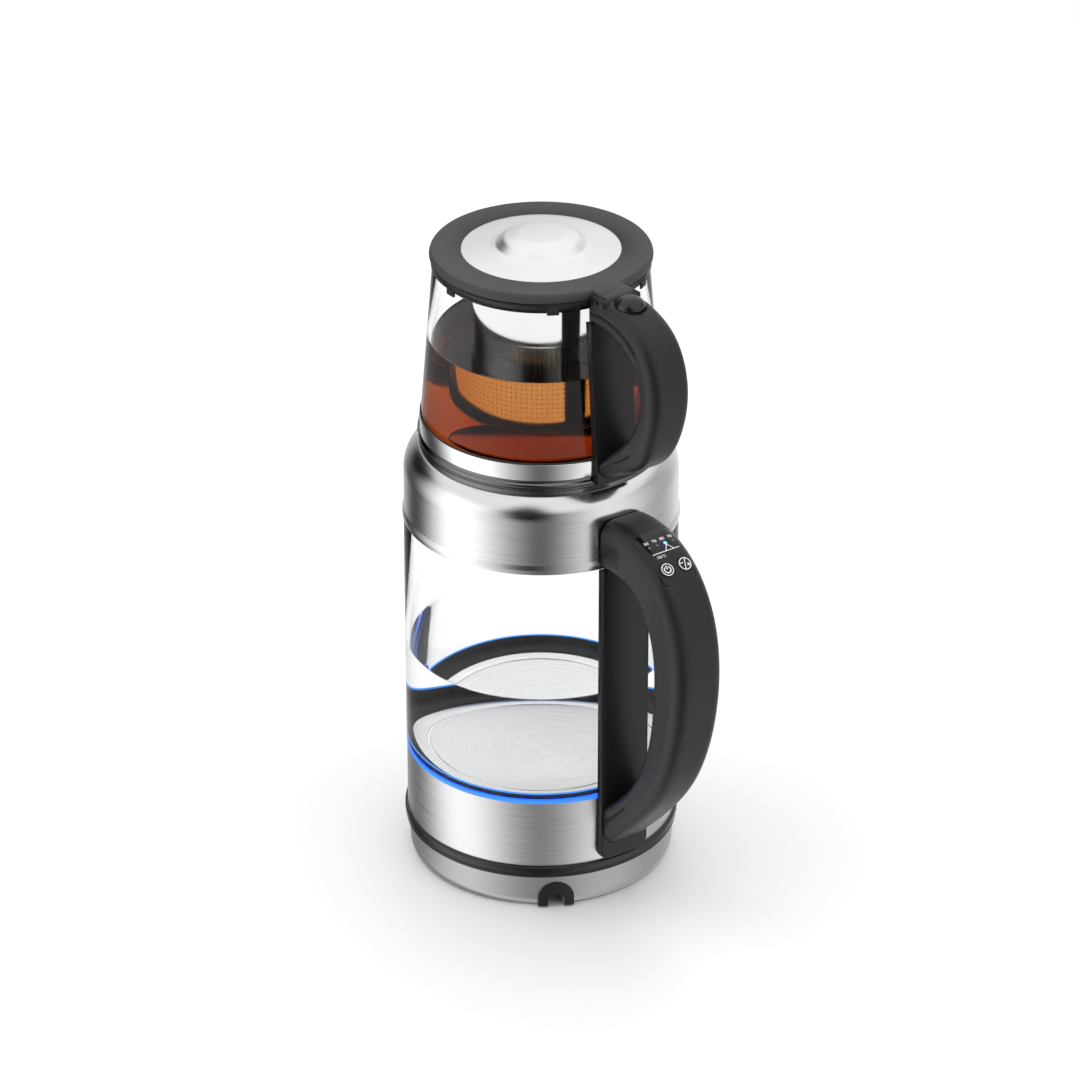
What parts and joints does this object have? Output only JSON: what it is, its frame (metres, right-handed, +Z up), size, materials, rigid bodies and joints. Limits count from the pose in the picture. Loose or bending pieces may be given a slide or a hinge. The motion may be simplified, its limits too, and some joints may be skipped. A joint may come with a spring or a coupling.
{
  "type": "tea maker",
  "caption": "Two-tier electric tea maker: a glass kettle on a round power base with a glass teapot seated on its mouth, each with a black loop handle.",
  "frame": {"origin": "on the table, on the axis of the kettle and its base, in the plane of the four rubber feet", "axes": "+Z up along the kettle axis, +X towards both handles, spout towards -X, +Y to the left when looking along +X"},
  "size_m": [0.2303, 0.153, 0.3764],
  "materials": {
    "brushed_steel": "circumferentially brushed stainless steel",
    "polished_steel": "polished stainless steel",
    "satin_black": "satin black moulded plastic",
    "lid_grey": "fine matt dark grey plastic",
    "gloss_black": "glossy black control panel",
    "clear_glass": "clear borosilicate glass",
    "silicone": "black silicone rubber",
    "contact_brass": "plain brass contacts",
    "light_guide": "translucent light guide, lit blue",
    "circuit_board": "green circuit board",
    "element_metal": "bare element sheath",
    "fastener_steel": "zinc plated",
    "wire_sleeve": "flat ribbon of sleeved wires"
  },
  "bodies": {
    "base": {"base_skirt": "brushed_steel", "base_top_plate": "satin_black", "base_bottom_plate": "satin_black", "base_feet": "silicone", "base_screws": "fastener_steel", "base_socket": "satin_black", "base_contacts": "contact_brass", "cord_outlet": "satin_black"},
    "kettle_coupler": {"kettle_coupler": "satin_black", "coupler_pins": "contact_brass"},
    "kettle": {"kettle_bottom_cover": "satin_black", "kettle_lower_band": "brushed_steel", "light_ring": "light_guide", "heater_plate": "polished_steel", "glass_seal_lower": "silicone", "clamp_ring": "satin_black", "led_board": "circuit_board", "leds": "light_guide", "heating_element": "element_metal", "thermostat": "element_metal", "temperature_sensor": "element_metal", "kettle_glass": "clear_glass", "glass_seal_upper": "silicone", "kettle_shoulder": "brushed_steel", "neck_ring": "polished_steel", "spout": "brushed_steel", "handle_strip": "satin_black", "handle_inner_shell": "satin_black", "handle_outer_shell": "satin_black", "control_panel": "gloss_black", "control_board": "circuit_board", "key_switches": "circuit_board", "wiring_loom": "wire_sleeve", "handle_screws": "fastener_steel"},
    "power_key": {"power_key": "gloss_black"},
    "temperature_key": {"temperature_key": "gloss_black"},
    "teapot": {"teapot_base_cup": "polished_steel", "teapot_seal": "silicone", "teapot_glass": "clear_glass", "teapot_collar": "satin_black", "infuser_sleeve": "polished_steel", "infuser_basket": "polished_steel", "teapot_handle_strip": "satin_black", "teapot_handle_inner": "satin_black", "teapot_handle_outer": "satin_black", "lid_hinge_pin": "fastener_steel"},
    "lid_button": {"lid_button": "satin_black"},
    "lid": {"lid_ring": "lid_grey", "lid_disc": "polished_steel", "lid_seal": "silicone"}
  },
  "joints": [
    {"name": "kettle_lift", "type": "slide", "parent": "base", "child": "kettle_coupler", "axis": [0, 0, 1], "range_m": [0, 0.12]},
    {"name": "kettle_swivel", "type": "hinge", "parent": "kettle_coupler", "child": "kettle", "pos_m": [0, 0, 0], "axis": [0, 0, 1], "continuous": true},
    {"name": "power_key_press", "type": "slide", "parent": "kettle", "child": "power_key", "axis": [-0.6259, 0, -0.7799], "range_m": [0, 0.0006], "stiffness_N_per_m": 900},
    {"name": "temperature_key_press", "type": "slide", "parent": "kettle", "child": "temperature_key", "axis": [-0.6259, 0, -0.7799], "range_m": [0, 0.0006], "stiffness_N_per_m": 900},
    {"name": "teapot_lift", "type": "slide", "parent": "kettle", "child": "teapot", "axis": [0, 0, 1], "range_m": [0, 0.1]},
    {"name": "lid_hinge", "type": "hinge", "parent": "teapot", "child": "lid", "pos_m": [0.0673, 0, 0.36425], "axis": [0, 1, 0], "range_deg": [0, 80]},
    {"name": "lid_button_press", "type": "slide", "parent": "teapot", "child": "lid_button", "axis": [0, 0, -1], "range_m": [0, 0.0025], "stiffness_N_per_m": 500}
  ]
}
